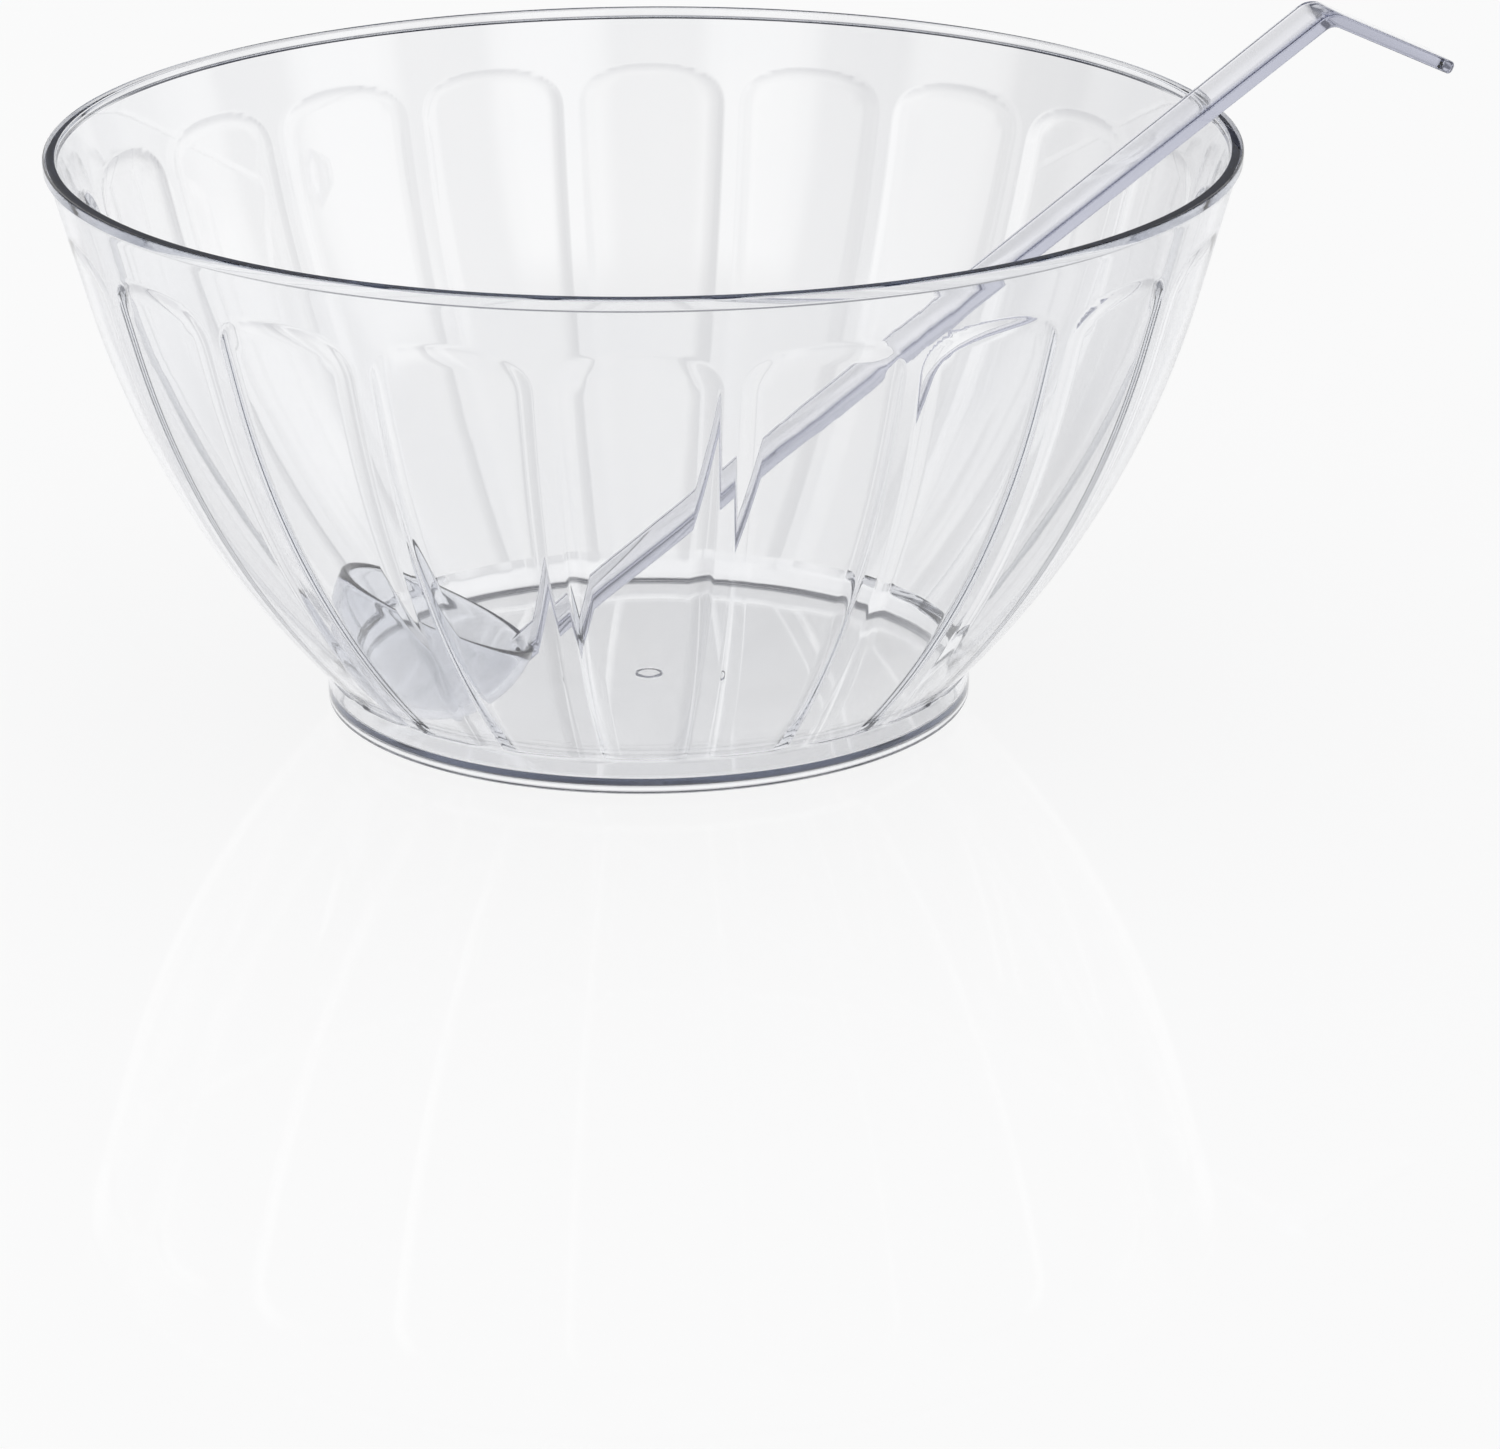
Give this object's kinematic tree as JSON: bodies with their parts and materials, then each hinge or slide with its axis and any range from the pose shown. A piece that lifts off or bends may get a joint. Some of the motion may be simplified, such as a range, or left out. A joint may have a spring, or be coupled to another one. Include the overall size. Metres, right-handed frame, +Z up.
{
  "type": "punch bowl",
  "caption": "Clear moulded punch bowl with arched flute panels inside, a beaded rim and a foot ring, holding a round-cupped serving ladle with a flat hooked handle.",
  "frame": {"origin": "on the table top, at the middle of the footprint of bowl and ladle together; the bowl's axis stands 29.3 mm from it towards -X", "axes": "+Z up along the bowl's axis, +X along the longest extent, towards the ladle's hook, +Y towards the back of the pictured view"},
  "size_m": [0.3635, 0.305, 0.1719],
  "materials": {
    "bowl_clear": "water-clear, polished",
    "ladle_clear": "water-clear, polished, faintly cool"
  },
  "bodies": {
    "bowl": {"bowl": "bowl_clear"},
    "ladle": {"ladle": "ladle_clear"}
  },
  "joints": [
    {"name": "ladle_lift", "type": "slide", "parent": "bowl", "child": "ladle", "axis": [0, 0, 1], "range_m": [0, 0.16]}
  ]
}
